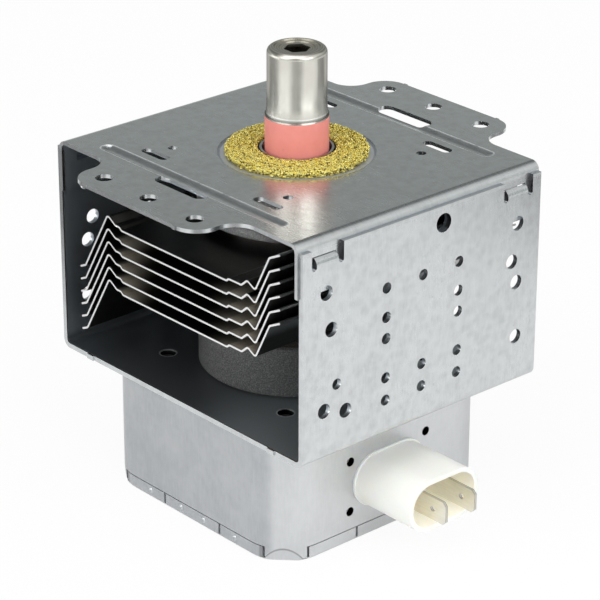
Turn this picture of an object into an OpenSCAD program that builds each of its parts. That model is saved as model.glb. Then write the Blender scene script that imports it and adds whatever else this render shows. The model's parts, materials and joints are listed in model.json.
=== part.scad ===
// Microwave oven magnetron. A cavity tube sits between two ring magnets in a folded steel yoke,
// with bent fins pressed on the tube, an antenna above and a filter box below.
// The origin is on the antenna axis at the mounting face. +Z runs up the antenna,
// +X points out of the side with the connector, and -Y out of an open side with the fins.

/* [Yoke] */
// Width across the two side plates
yoke_w = 94.5; // [94:0.5:98]
// Depth of the side plates and the bottom plate
yoke_d = 80; // [79:0.5:82]
// Height from the mounting face to the outside of the bottom plate
yoke_h = 58.7; // [58.5:0.1:60]
// Thickness of the sheet steel of the side plates and the bottom plate
sheet_t = 1.3; // [1.2:0.1:1.4]
// Thickness of the top plate's sheet steel
plate_t = 1; // [0.9:0.1:1.2]
// Outside radius of the folds
fold_r = 2.4; // [2.1:0.1:2.8]
// Height of the top plate's folded lips
lip_h = 14; // [13:0.5:16]
// How far the side plates' top edge lies under the mounting face
side_drop = 2.1; // [2:0.1:2.6]

/* [Mounting flanges] */
// Distance between neighbouring mounting holes
hole_pitch = 17.5; // [16:0.5:18]
// Distance of each row of mounting holes from the antenna axis
hole_row = 48; // [47.5:0.5:49]
// Diameter of a mounting hole
mount_hole_d = 4.6; // [4:0.1:5]
// Reach of a flange from the antenna axis
flange_reach = 54.2; // [53.8:0.1:56]
// Half the width of a flange
flange_half_w = 24.5; // [23.5:0.5:25.5]

/* [Cooling fins] */
// Number of fins
fin_count = 6; // [4:1:6]
// Distance between fins
fin_pitch = 3.55; // [3:0.05:3.6]
// Thickness of a fin
fin_t = 0.5; // [0.4:0.1:0.7]
// Depth of the first fin's flat under the mounting face
fin_first = 17.8; // [17.8:0.1:18.4]
// Half the span of a fin
fin_half_w = 39.1; // [38:0.1:41]
// Drop of the left wing's lip under the flat
fin_drop = 15.4; // [13:0.1:16]
// Lift of the right wing's lip over the flat
fin_lift = 13; // [10:0.1:13.5]

/* [Tube] */
// Outside diameter of the anode cylinder
anode_d = 36; // [34:0.5:37]
// Wall of the anode cylinder
anode_wall = 1.75; // [1.5:0.05:2.5]
// Number of vanes
vane_count = 10; // [8:2:10]
// Thickness of a vane
vane_t = 1.9; // [1.6:0.1:2]
// Height of a vane
vane_h = 9.4; // [9:0.1:10]
// Outside diameter of the metal shells at both ends of the tube
shell_d = 19; // [18.8:0.1:19.4]

/* [Magnets] */
// Outside diameter of a ring magnet
magnet_d = 51; // [48:0.5:52]
// Inside diameter of a ring magnet
magnet_bore_d = 21; // [20:0.5:24]
// Thickness of a ring magnet
magnet_t = 14; // [13.5:0.1:14]

/* [Antenna] */
// Diameter of the cap
cap_d = 15.3; // [14.6:0.1:15.6]
// Height of the cap's top over the mounting face
cap_top = 27.9; // [26:0.1:32]
// Height of the cap's lower rim
cap_foot = 9.8; // [9:0.1:12]
// Diameter of the ceramic
ceramic_d = 16.3; // [16.2:0.1:17]
// Outside diameter of the mesh gasket
gasket_d = 36.2; // [35:0.1:38]
// Inside diameter of the mesh gasket
gasket_bore_d = 20.4; // [20:0.1:21]
// Height of the gasket over the mounting face
gasket_h = 1.5; // [1.5:0.1:2.5]

/* [Filter box] */
// Width of the box along X
box_w = 70.8; // [68:0.2:74]
// Depth of the box along Y
box_d = 72.2; // [70:0.2:76]
// Height of the box with its cover
box_h = 34.9; // [34:0.1:38]
// Thickness of the box's sheet steel
box_t = 0.8; // [0.6:0.1:0.8]
// Radius of the box's upright corners
box_r = 11.7; // [10:0.1:13]
// Height of the cover's rim tabs
rim_h = 3.7; // [3:0.1:4]

/* [Connector] */
// Length of the shroud outside the box
shroud_len = 20.6; // [18:0.1:22]
// Width of the shroud
shroud_w = 23.8; // [23:0.1:25]
// Height of the shroud
shroud_h = 14.2; // [13.5:0.1:15]
// Width of a spade tab
tab_w = 6.3; // [6:0.1:6.4]
// Thickness of a spade tab
tab_t = 0.8; // [0.7:0.1:0.8]
// Distance between the two tabs
tab_gap = 10; // [9.5:0.1:10.5]
// Reach of the tabs beyond the shroud
tab_reach = 6; // [4:0.1:8]

/* [Hidden] */
fin_names = [for (i = [1:fin_count]) str("cooling_fin_", i)];
vane_names = [for (i = [1:vane_count]) str("anode_vane_", i)];
$fn = 64;
// Overrun of a cutting shape past the face that it cuts, and slack between a wound wire and its core
cut = 1;
touch = 0.01;

// Yoke: the top plate's lips stand inside the side plates
lip_x = yoke_w / 2 - sheet_t;
plate_half_d = yoke_d / 2 + 0.5;
floor_z = sheet_t - yoke_h;
tube_hole_r = shell_d / 2 + 0.7;
seat_r = gasket_d / 2 + 2.1;
seat_depth = 0.5;
nib_w = 1.2;
nib_reach = 0.4;
nib_flange_x = 17.3;
nib_floor_x = 35.8;

// Clinch joints: a strip of the side plate between two slits is bent into a window of the lip
clinch_y = 32;
clinch_half_w = 3.5;
clinch_slit_w = 1.6;
clinch_root_z = -6.5;
clinch_bend_r = 1;
clinch_bend = 60;
clinch_top_z = clinch_root_z + (clinch_bend_r + sheet_t) * sin(clinch_bend);
window_gap = 0.15;

// Flange outline, slots and stiffening beads of the top plate
flange_corner_r = 6.5;
flange_root_r = 6;
wide_slot = [18.2, 4.5];
wide_slot_y = 37.7;
short_slot = [9.5, 3];
short_slot_at = [21.6, 28.5];
dot_d = 2.6;
dot_at = [22.1, 22.4];
bead_y = 34.6;
bead_half_len = 35;
bead_half_w = 2;
bead_depth = 0.7;
bead_r = (pow(bead_half_w, 2) + pow(bead_depth, 2)) / (2 * bead_depth);
bead_run = bead_half_len - bead_half_w;

// Pierced holes of a side plate, each at its place along the plate and its height
pierce_small_d = 2.9;
pierce_mid_d = 3.9;
pierce_wide_d = 5;
pierce_columns = [-12.7, -0.5, 11.7];
pierce_full_rows = [-18.5, -42.6, -48.7];
pierce_pair_rows = [-26.3, -32];
pierce_lone = [-28.9, -39.1];
pierce_mid = [[32.2, -14], [-32.4, -14], [30.4, -24], [-30.8, -24], [32.2, -30.1],
              [32.6, -45.3], [-33, -45.1], [-26, -47.1]];
pierce_wide = [6.1, -6.6];
floor_hole_d = 4.2;
floor_hole_at = [23.3, 24.2];

// Stack of the tube between the top plate and the bottom plate
shell_flange_t = 0.5;
shell_flange_r = 17;
pole_t = 1.6;
upper_seat_z = -plate_t - magnet_t;
lower_seat_z = floor_z + magnet_t;
anode_top = upper_seat_z - shell_flange_t - pole_t;
anode_foot = lower_seat_z + shell_flange_t + pole_t;
tube_mid_z = (anode_top + anode_foot) / 2;
anode_r = anode_d / 2;
anode_bore_r = anode_r - anode_wall;
magnet_chamfer = 0.5;

// Vanes, straps and pole pieces
vane_top = tube_mid_z + vane_h / 2;
vane_tip_r = 4.5;
strap_h = 1.2;
strap_w = 0.8;
strap_r = [6.5, 8.1];
strap_gap = 0.4;
pole_gap = 1.3;
pole_reach = anode_top + pole_t - vane_top - pole_gap;
pole_bore_r = 4.7;
pole_lip_r = 6;
pole_cone_r = 12.5;
lead_hole_r = 2.2;

// Cathode
helix_r = 1.95;
helix_wire_r = 0.25;
helix_turns = 9;
helix_steps = 16;
hat_r = 3.3;
hat_t = 1.2;
hat_gap = 0.45;
spigot_h = 1.2;
spigot_r = helix_r * cos(180 / helix_steps) - helix_wire_r - touch;
rod_lead_r = 0.7;
lead_pass_r = 1.2;
side_lead_y = 2.4;
upper_hat_z = vane_top + hat_gap;
lower_hat_z = vane_top - vane_h - hat_gap;

// Shells, ceramics and antenna
shell_r = shell_d / 2;
shell_wall = 0.6;
shell_rim_z = 1.2;
ledge_z = -2.4;
ledge_bore_r = 6.4;
shell_foot_z = -66;
ceramic_bore_r = 6.2;
cap_r = cap_d / 2;
cap_h = cap_top - cap_foot;
cap_wall = 0.6;
cap_shoulder_r = 1.5;
cap_steps = [[5.9, 0.3], [4.7, 0.55]];
cap_rim = [0.5, 0.5];
cap_flare = 0.35;
cap_flare_h = 4.4;
cap_flare_line = [for (i = [8:-1:0]) let (s = i / 8) [cap_r + cap_flare * s * s, cap_flare_h * (1 - s)]];
hexagon_r = 3.45;
pinch_r = 2.6;
pinch_wall = 0.5;
pinch_from = 17;
pinch_top = 20;
pinch_flange_r = 6.9;
strip_w = 2.4;
strip_t = 0.9;
strip_root_r = 10.3;
strip_bend_z = anode_top - 0.8;
strip_join_z = -8;
strip_top_z = 16.5;
stem_r = 8.1;
stem_foot_z = shell_foot_z - shell_wall - 11;
stem_plate_t = 0.6;
stem_plate_r = 7.5;
stem_plate_gap = 0.6;
stem_tab = [3, 10];

// Line of a fin across its width, over its flat, from the left lip to the right lip
fin_lip = [2.2, 3.8];
fin_step = 0.7;
fin_bend_r = 0.9;
bend_step = 15;
fin_flat = [-21.6, 19.5];
fin_line = [[-fin_half_w, -fin_drop], [-fin_half_w + fin_lip[0], -fin_drop + 1], [-27.1, 2.6],
            [-24.1, fin_step], [fin_flat[0] - fin_step, fin_step], [fin_flat[0], 0],
            [fin_flat[1], 0], [fin_flat[1] + fin_step, fin_step], [25, fin_step],
            [27.2, 2.6], [30.1, 1], [fin_half_w - fin_lip[1], fin_lift - 1.9], [fin_half_w, fin_lift]];
collar_t = 0.5;
collar_h = 1.9;

// Gasket: wraps of rolled mesh on a common bed
wrap_count = 5;
wrap_w = (gasket_d - gasket_bore_d) / 2 / wrap_count;
wrap_r = wrap_w * 0.56;

// Filter box and cover
box_half = [box_w / 2, box_d / 2];
box_foot_z = -yoke_h - box_h;
box_edge_r = 4.3;
rim_edge_r = 1;
rim_inset = 0.1;
rim_slit_w = 0.7;
joggle_z = box_foot_z + rim_h + 0.3;
rim_slits_front = [11, 27.6];
rim_slits_side = [10.6, 27];
crimp_h = 4.3;
crimp_depth = 1.46;
dimple_at = [4.6, 17];
dimple_z = 2.2;
dimple_r = 1;
dimple_proud = 0.35;

// Connector and feed-through capacitor
wall_x = box_half[0];
plug_z = -77.5;
plug_plate = [36, 22];
plug_plate_t = 1;
plug_plate_x = wall_x - box_t - plug_plate_t;
plug_hole_d = 2.5;
plug_hole_at = [13.1, 7.1];
plug_pass = [20, 11];
plug_rim = 0.4;
plug_rim_t = 0.7;
shroud_wall = 1.2;
shroud_floor = 4.6;
case_x = 24;
case_size = [21, 12.4];
case_wall = 1;
body_hole_r = 1.4;
plate_hole_r = 2.2;
rod_r = 0.9;
rod_end_x = 20.5;
tab_root_x = wall_x + 2.6;
tab_tip_x = wall_x + shroud_len + tab_reach;
tab_nose = 1;
tab_hole_d = 1.6;
tab_hole_back = 4.6;

// Chokes
choke_y = 20;
choke_ends = [6, -20];
choke_r = 4;
choke_wire_r = 0.65;
choke_turns = 11;
choke_steps = 14;
core_r = choke_r * cos(180 / choke_steps) - choke_wire_r - touch;
core_overhang = 1;
wire_sides = 6;

function unit(v) = v / norm(v);

// Direction to the left of a leg, turn of an open line at one of its points, and the points of one side
// of a strip of thickness t along the line, bent there with the middle radius r
function side_way(a, b) = let (d = unit(b - a)) [-d[1], d[0]];
function turn(p, i) = let (a = unit(p[i] - p[i - 1]), b = unit(p[i + 1] - p[i]))
    atan2(a[0] * b[1] - a[1] * b[0], a * b);
function bend_side(p, i, t, r, side) =
    let (w = turn(p, i), d = unit(p[i] - p[i - 1]), n = side_way(p[i - 1], p[i]) * sign(w),
         middle = p[i] - d * r * tan(abs(w) / 2) + n * r, from = atan2(-n[1], -n[0]),
         steps = ceil(abs(w) / bend_step), reach = r - side * sign(w) * t / 2)
    [for (k = [0:steps]) middle + reach * [cos(from + w * k / steps), sin(from + w * k / steps)]];
function strip_side(p, t, r, side) = let (last = len(p) - 1) concat(
    [p[0] + side_way(p[0], p[1]) * side * t / 2],
    [for (i = [1:last - 1]) each bend_side(p, i, t, r, side)],
    [p[last] + side_way(p[last - 1], p[last]) * side * t / 2]);

// Directions along a path of points, and cross directions carried along it without twist
function along(p, i) = unit(p[min(i + 1, len(p) - 1)] - p[max(i - 1, 0)]);
function carried(p, i, e) = i == len(p) ? [] :
    let (t = along(p, i), f = unit(e - (e * t) * t)) concat([f], carried(p, i + 1, f));

module obround(size) {
    square([size[0] - size[1], size[1]], center = true);
    for (s = [-1, 1]) translate([s * (size[0] - size[1]) / 2, 0]) circle(d = size[1]);
}

// Rectangle standing on the X axis, with its two lower corners rounded
module trough(w, h, r) {
    translate([-w / 2, r]) square([w, h - r]);
    translate([-w / 2 + r, 0]) square([w - 2 * r, h]);
    for (s = [-1, 1]) translate([s * (w / 2 - r), r]) circle(r);
}

// Outline of a strip of thickness t along an open line of points, with bends of middle radius r
module bent_strip(p, t, r) {
    back = strip_side(p, t, r, -1);
    polygon(concat(strip_side(p, t, r, 1), [for (i = [len(back) - 1:-1:0]) back[i]]));
}

// Channel folded from sheet of thickness t, open above, running along Y
module channel(w, h, length, t) {
    rotate([90, 0, 0]) linear_extrude(length, center = true) difference() {
        trough(w, h, fold_r);
        translate([0, t]) trough(w - 2 * t, h + cut, fold_r - t);
    }
}

module pipe(r_out, r_in, z_low, z_high) {
    translate([0, 0, z_low]) difference() {
        cylinder(h = z_high - z_low, r = r_out);
        translate([0, 0, -cut]) cylinder(h = z_high - z_low + 2 * cut, r = r_in);
    }
}

// Round wire along a path, its first cross direction taken from start
module wire(path, r, start) {
    n = wire_sides;
    last = len(path) - 1;
    cross_ways = carried(path, 0, start);
    points = [for (i = [0:last]) let (e = cross_ways[i], f = cross(along(path, i), e))
              for (k = [0:n - 1]) path[i] + r * (cos(360 * k / n) * e + sin(360 * k / n) * f)];
    sleeve = [for (i = [0:last - 1], k = [0:n - 1]) let (a = i * n + k, b = i * n + (k + 1) % n)
              each [[a, b + n, b], [a, a + n, b + n]]];
    ends = [[for (k = [0:n - 1]) k], [for (k = [n - 1:-1:0]) last * n + k]];
    polyhedron(points, concat(sleeve, ends));
}

// Quarter of a drawn shape in section: a wall at distance r with a round top edge
module edge_section(r, h, edge) {
    square([r - edge, h]);
    square([r, h - edge]);
    translate([r - edge, h - edge]) circle(edge);
}

// Drawn block of half sizes half, with round upright corners and a round top edge at z = h
module drawn_block(half, h, r, edge) {
    flat = half - [r, r];
    for (sx = [0, 1], sy = [0, 1]) mirror([sx, 0, 0]) mirror([0, sy, 0])
        translate([flat[0], flat[1], 0]) rotate_extrude(angle = 90) edge_section(r, h, edge);
    for (s = [0, 180]) rotate(s) {
        translate([flat[0], flat[1], 0]) rotate([90, 0, 0])
            linear_extrude(2 * flat[1]) edge_section(r, h, edge);
        rotate(90) translate([flat[1], flat[0], 0]) rotate([90, 0, 0])
            linear_extrude(2 * flat[0]) edge_section(r, h, edge);
    }
    translate([-flat[0], -flat[1], 0]) cube([2 * flat[0], 2 * flat[1], h]);
}

module round_rect(half, r) {
    flat = half - [r, r];
    square([2 * half[0], 2 * flat[1]], center = true);
    square([2 * flat[0], 2 * half[1]], center = true);
    for (sx = [-1, 1], sy = [-1, 1]) translate([sx * flat[0], sy * flat[1]]) circle(r);
}

// Upper yoke: top plate with flanges, beads, gasket seat and two folded lips

module flange_outline() {
    root_y = plate_half_d;
    core_w = flange_half_w - flange_corner_r;
    translate([-flange_half_w, root_y - cut])
        square([2 * flange_half_w, flange_reach - flange_corner_r - root_y + cut]);
    translate([-core_w, root_y - cut]) square([2 * core_w, flange_reach - root_y + cut]);
    for (s = [-1, 1]) {
        translate([s * core_w, flange_reach - flange_corner_r]) circle(flange_corner_r);
        translate([s * nib_flange_x, flange_reach]) square([nib_w, 2 * nib_reach], center = true);
        difference() {
            translate([s * (flange_half_w + (flange_root_r - cut) / 2), root_y + (flange_root_r - cut) / 2])
                square(flange_root_r + cut, center = true);
            translate([s * (flange_half_w + flange_root_r), root_y + flange_root_r]) circle(flange_root_r);
        }
    }
}

// Round-ended rod lying along the bead, from which both faces of the bead are taken
module bead_rod(r) {
    translate([0, bead_y, bead_r - bead_depth]) {
        rotate([0, 90, 0]) cylinder(h = 2 * bead_run, r = r, center = true);
        for (s = [-1, 1]) translate([s * bead_run, 0, 0]) sphere(r);
    }
}

module plate_piercings() {
    circle(tube_hole_r);
    for (sy = [0, 1]) mirror([0, sy]) {
        for (i = [-1:1]) translate([i * hole_pitch, hole_row]) circle(d = mount_hole_d);
        translate([0, wide_slot_y]) obround(wide_slot);
        for (sx = [-1, 1]) {
            translate([sx * short_slot_at[0], short_slot_at[1]]) obround(short_slot);
            translate([sx * dot_at[0], dot_at[1]]) circle(d = dot_d);
        }
    }
}

// Drill through one side plate and the lip behind it
module side_drill(at, d) {
    translate([lip_x - 2 * sheet_t, at[0], at[1]]) rotate([0, 90, 0]) cylinder(h = 4 * sheet_t, d = d);
}

module lip_windows() {
    size = [2 * yoke_w, 2 * (clinch_half_w + window_gap), clinch_top_z - clinch_root_z + 2 * window_gap];
    mid_z = (clinch_top_z + clinch_root_z) / 2;
    for (s = [-1, 1]) translate([0, s * clinch_y, mid_z]) cube(size, center = true);
}

module upper_yoke() {
    color("silver") difference() {
        union() {
            rotate([180, 0, 0]) channel(2 * lip_x, lip_h, 2 * plate_half_d, plate_t);
            for (s = [0, 180]) rotate(s) {
                translate([0, 0, -plate_t]) linear_extrude(plate_t) flange_outline();
                intersection() {
                    bead_rod(bead_r + plate_t);
                    translate([0, bead_y, -1.25 * plate_t])
                        cube([2 * yoke_w, 2 * bead_r, 1.5 * plate_t], center = true);
                }
            }
        }
        for (s = [0, 180]) rotate(s) {
            bead_rod(bead_r);
            side_drill(pierce_wide, pierce_wide_d);
        }
        translate([0, 0, -plate_t - cut]) linear_extrude(plate_t + 2 * cut) plate_piercings();
        translate([0, 0, -seat_depth]) cylinder(h = cut, r = seat_r);
        lip_windows();
    }
}

// Lower yoke: bottom plate and two side plates, with strips clinched into the lips

module clinch_opening() {
    half = clinch_half_w + clinch_slit_w;
    translate([-half, clinch_root_z]) square([2 * half, -clinch_root_z]);
    for (s = [-1, 1]) translate([s * (half - clinch_slit_w / 2), clinch_root_z]) circle(d = clinch_slit_w);
}

module clinch_strip() {
    translate([yoke_w / 2 - sheet_t - clinch_bend_r, clinch_half_w, clinch_root_z]) rotate([90, 0, 0])
        rotate_extrude(angle = clinch_bend)
            translate([clinch_bend_r, 0]) square([sheet_t, 2 * clinch_half_w]);
}

module side_piercings() {
    for (y = pierce_columns, z = pierce_full_rows) side_drill([y, z], pierce_small_d);
    for (y = [pierce_columns[0], pierce_columns[2]], z = pierce_pair_rows) side_drill([y, z], pierce_small_d);
    side_drill(pierce_lone, pierce_small_d);
    for (at = pierce_mid) side_drill(at, pierce_mid_d);
    side_drill(pierce_wide, pierce_wide_d);
}

module floor_piercings() {
    circle(tube_hole_r);
    for (sx = [-1, 1], sy = [-1, 1]) translate([sx * floor_hole_at[0], sy * floor_hole_at[1]])
        circle(d = floor_hole_d);
}

module lower_yoke() {
    color("lightgray") {
        difference() {
            translate([0, 0, -yoke_h]) channel(yoke_w, yoke_h - side_drop, yoke_d, sheet_t);
            for (s = [-1, 1]) translate([0, s * clinch_y, 0]) rotate([90, 0, 90])
                linear_extrude(yoke_w + 2 * cut, center = true) clinch_opening();
            for (s = [0, 180]) rotate(s) side_piercings();
            translate([0, 0, -yoke_h - cut]) linear_extrude(sheet_t + 2 * cut) floor_piercings();
        }
        for (sx = [0, 1], sy = [-1, 1]) mirror([sx, 0, 0]) {
            translate([0, sy * clinch_y, 0]) clinch_strip();
            translate([nib_floor_x, sy * yoke_d / 2, floor_z - sheet_t / 2])
                cube([2 * nib_w, 2 * nib_reach, sheet_t], center = true);
        }
    }
}

// Fins, magnets and the tube's body

module cooling_fin(i) {
    color("gainsboro") translate([0, 0, -fin_first - (i - 1) * fin_pitch]) difference() {
        union() {
            rotate([90, 0, 0]) linear_extrude(yoke_d, center = true) bent_strip(fin_line, fin_t, fin_bend_r);
            translate([0, 0, -collar_h]) cylinder(h = collar_h, r = anode_r + collar_t);
        }
        translate([0, 0, -collar_h - cut]) cylinder(h = collar_h + 2 * cut, r = anode_r);
    }
}

module ring_magnet(z_low) {
    r = magnet_d / 2;
    bore = magnet_bore_d / 2;
    c = magnet_chamfer;
    color("dimgray") translate([0, 0, z_low]) rotate_extrude()
        polygon([[bore, 0], [r - c, 0], [r, c], [r, magnet_t - c], [r - c, magnet_t], [bore, magnet_t]]);
}

module upper_magnet() ring_magnet(upper_seat_z);

module lower_magnet() ring_magnet(floor_z);

module anode_cylinder() {
    color("peru") pipe(anode_r, anode_bore_r, anode_foot, anode_top);
}

// Notch of a vane at one end: the inner part and the outer part each clear or carry their strap
module vane_notch(carries_inner) {
    mid_r = (strap_r[0] + strap_w + strap_r[1]) / 2;
    starts = [strap_r[0] - strap_gap, mid_r];
    stops = [mid_r, strap_r[1] + strap_w + strap_gap];
    for (k = [0, 1]) {
        depth = (k == 0) == carries_inner ? strap_h : strap_h + strap_gap;
        translate([starts[k], -vane_t, -depth]) cube([stops[k] - starts[k], 2 * vane_t, depth + cut]);
    }
}

module anode_vane(i) {
    odd = i % 2 == 1;
    color("peru") rotate((i - 1) * 360 / vane_count) difference() {
        translate([0, 0, vane_top - vane_h]) linear_extrude(vane_h) intersection() {
            translate([vane_tip_r, -vane_t / 2]) square([anode_r, vane_t]);
            circle(anode_bore_r);
        }
        translate([0, 0, vane_top]) vane_notch(odd);
        translate([0, 0, vane_top - vane_h]) mirror([0, 0, 1]) vane_notch(!odd);
    }
}

module strap(r, z_low) {
    color("sandybrown") pipe(r + strap_w, r, z_low, z_low + strap_h);
}

module upper_inner_strap() strap(strap_r[0], vane_top - strap_h);

module upper_outer_strap() strap(strap_r[1], vane_top - strap_h);

module lower_inner_strap() strap(strap_r[0], vane_top - vane_h);

module lower_outer_strap() strap(strap_r[1], vane_top - vane_h);

// Funnel of a pole piece, its flange's outer face at z = 0 and its mouth below
module pole_funnel() {
    rise = pole_reach - pole_t;
    rotate_extrude() polygon([[anode_r, 0], [pole_cone_r, 0], [pole_lip_r, -rise], [pole_bore_r, -rise],
        [pole_bore_r, -pole_reach], [pole_lip_r + 0.9, -pole_reach], [pole_cone_r + 0.7, -pole_t],
        [anode_r, -pole_t]]);
}

module upper_pole_piece() {
    color("gray") difference() {
        translate([0, 0, anode_top + pole_t]) pole_funnel();
        translate([strip_root_r, 0, anode_top - pole_reach]) cylinder(h = 2 * pole_reach, r = lead_hole_r);
    }
}

module lower_pole_piece() {
    color("gray") translate([0, 0, anode_foot - pole_t]) mirror([0, 0, 1]) pole_funnel();
}

module upper_shell() {
    r = shell_r;
    bore = shell_r - shell_wall;
    foot = upper_seat_z - shell_flange_t;
    color("darkgray") rotate_extrude() polygon([[shell_flange_r, foot], [shell_flange_r, upper_seat_z],
        [r, upper_seat_z], [r, shell_rim_z], [bore, shell_rim_z], [bore, ledge_z], [ledge_bore_r, ledge_z],
        [ledge_bore_r, ledge_z - shell_wall], [bore, ledge_z - shell_wall], [bore, foot]]);
}

module lower_shell() {
    r = shell_r;
    bore = shell_r - shell_wall;
    top = lower_seat_z + shell_flange_t;
    color("darkgray") rotate_extrude() polygon([[shell_flange_r, lower_seat_z], [shell_flange_r, top],
        [bore, top], [bore, shell_foot_z], [ledge_bore_r, shell_foot_z],
        [ledge_bore_r, shell_foot_z - shell_wall], [r, shell_foot_z - shell_wall], [r, lower_seat_z]]);
}

// Antenna and gasket

module antenna_ceramic() {
    color("salmon") pipe(ceramic_d / 2, ceramic_bore_r, ledge_z, cap_foot);
}

module antenna_cap() {
    color("lightsteelblue") translate([0, 0, cap_foot]) difference() {
        rotate_extrude() difference() {
            union() {
                edge_section(cap_r, cap_h, cap_shoulder_r);
                square([cap_r + cap_rim[0], cap_rim[1]]);
                polygon(concat([[0, 0]], cap_flare_line, [[0, cap_flare_h]]));
            }
            edge_section(cap_r - cap_wall, cap_h - cap_steps[1][1] - cap_wall, cap_shoulder_r - cap_wall);
            for (step = cap_steps) translate([0, cap_h - step[1]]) square([step[0], cut]);
        }
        translate([0, 0, cap_h / 2]) cylinder(h = cap_h, r = hexagon_r, $fn = 6);
    }
}

module exhaust_tube() {
    r = pinch_r;
    bore = r - pinch_wall;
    color("chocolate") rotate_extrude() polygon([[bore, cap_foot], [pinch_flange_r, cap_foot],
        [pinch_flange_r, cap_foot + pinch_wall], [r, cap_foot + pinch_wall], [r, pinch_from],
        [bore / 2, pinch_top], [0, pinch_top], [0, pinch_top - 2 * pinch_wall], [bore, pinch_from]]);
}

module antenna_lead() {
    color("chocolate") rotate([90, 0, 0]) linear_extrude(strip_w, center = true)
        bent_strip([[strip_root_r, vane_top], [strip_root_r, strip_bend_z], [0, strip_join_z],
                    [0, strip_top_z]], strip_t, strip_t);
}

module gasket() {
    bed_r = gasket_bore_d / 2 + wrap_w / 2;
    wrap_z = gasket_h - wrap_r;
    color("gold") rotate_extrude() {
        translate([bed_r - wrap_w / 4, -seat_depth])
            square([(wrap_count - 0.5) * wrap_w, wrap_z + seat_depth]);
        for (i = [0:wrap_count - 1]) translate([bed_r + i * wrap_w, wrap_z]) circle(wrap_r);
    }
}

// Cathode and stem

module filament() {
    start_z = lower_hat_z + helix_wire_r + 2 * touch;
    end_z = upper_hat_z - helix_wire_r - 2 * touch;
    last = helix_turns * helix_steps;
    helix = [for (i = [0:last]) let (a = 360 * i / helix_steps)
             [helix_r * cos(a), helix_r * sin(a), start_z + (end_z - start_z) * i / last]];
    color("slategray") wire(helix, helix_wire_r, [1, 0, 0]);
}

module upper_end_hat() {
    color("slategray") difference() {
        union() {
            translate([0, 0, upper_hat_z]) cylinder(h = hat_t, r = hat_r);
            translate([0, 0, upper_hat_z - spigot_h]) cylinder(h = spigot_h + hat_t / 2, r = spigot_r);
        }
        translate([0, 0, upper_hat_z - spigot_h - cut])
            cylinder(h = spigot_h + hat_t + 2 * cut, r = rod_lead_r);
    }
}

module lower_end_hat() {
    color("slategray") difference() {
        union() {
            translate([0, 0, lower_hat_z - hat_t]) cylinder(h = hat_t, r = hat_r);
            translate([0, 0, lower_hat_z - hat_t / 2]) cylinder(h = spigot_h + hat_t / 2, r = spigot_r);
        }
        translate([0, 0, lower_hat_z - hat_t - cut]) {
            cylinder(h = spigot_h + hat_t + 2 * cut, r = lead_pass_r);
            translate([0, side_lead_y, 0]) cylinder(h = hat_t + 2 * cut, r = rod_lead_r);
        }
    }
}

module rod_lead(y, z_top) {
    foot_z = stem_foot_z - stem_plate_t;
    color("slategray") translate([0, y, foot_z]) cylinder(h = z_top - foot_z, r = rod_lead_r);
}

module centre_lead() rod_lead(0, upper_hat_z + hat_t);

module side_lead() rod_lead(side_lead_y, lower_hat_z);

module lead_bores(z_low, z_high) {
    for (y = [0, side_lead_y]) translate([0, y, z_low]) cylinder(h = z_high - z_low, r = rod_lead_r);
}

module stem_ceramic() {
    top = shell_foot_z - shell_wall;
    color("mistyrose") difference() {
        translate([0, 0, stem_foot_z]) cylinder(h = top - stem_foot_z, r = stem_r);
        lead_bores(stem_foot_z - cut, top + cut);
    }
}

// Contact plate of one lead. Side 1 serves the centre lead, side -1 the side lead
module stem_terminal(side) {
    split_y = (side_lead_y - side * stem_plate_gap) / 2;
    color("silver") difference() {
        translate([0, 0, stem_foot_z - stem_plate_t]) linear_extrude(stem_plate_t) union() {
            intersection() {
                circle(stem_plate_r);
                translate([0, split_y - side * stem_plate_r]) square(2 * stem_plate_r, center = true);
            }
            translate([-stem_tab[0] / 2, side > 0 ? -stem_tab[1] : split_y])
                square([stem_tab[0], side > 0 ? stem_tab[1] : stem_tab[1] - split_y]);
        }
        lead_bores(stem_foot_z - stem_plate_t - cut, stem_foot_z + cut);
    }
}

module stem_terminal_1() stem_terminal(1);

module stem_terminal_2() stem_terminal(-1);

// Filter box and cover

module obround_bar(x_low, x_high, size) {
    translate([x_low, 0, plug_z]) rotate([90, 0, 90]) linear_extrude(x_high - x_low) obround(size);
}

module plug_holes(x_low, x_high) {
    for (sy = [-1, 1], sz = [-1, 1]) translate([x_low, sy * plug_hole_at[0], plug_z + sz * plug_hole_at[1]])
        rotate([0, 90, 0]) cylinder(h = x_high - x_low, d = plug_hole_d);
}

// What a crimp takes off each foot corner: a flat that leans in towards the foot
module corner_crimps() {
    lean = crimp_depth / crimp_h;
    flat = box_half - [box_r, box_r];
    for (sx = [0, 1], sy = [0, 1]) mirror([sx, 0, 0]) mirror([0, sy, 0])
        translate([flat[0], flat[1], box_foot_z]) rotate([90, 0, 45]) linear_extrude(2 * box_r, center = true)
            polygon([[box_r - lean * (crimp_h + cut), -cut], [box_r + lean * cut, crimp_h + cut],
                     [2 * box_r, crimp_h + cut], [2 * box_r, -cut]]);
}

// The four corners of the box's foot, outside the end slits of the rim or, with a margin, from the slits on
module foot_corners(margin) {
    at = [rim_slits_front[1], rim_slits_side[1]] + [margin, margin];
    for (sx = [0, 1], sy = [0, 1]) mirror([sx, 0]) mirror([0, sy]) translate(at) square(box_r);
}

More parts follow.
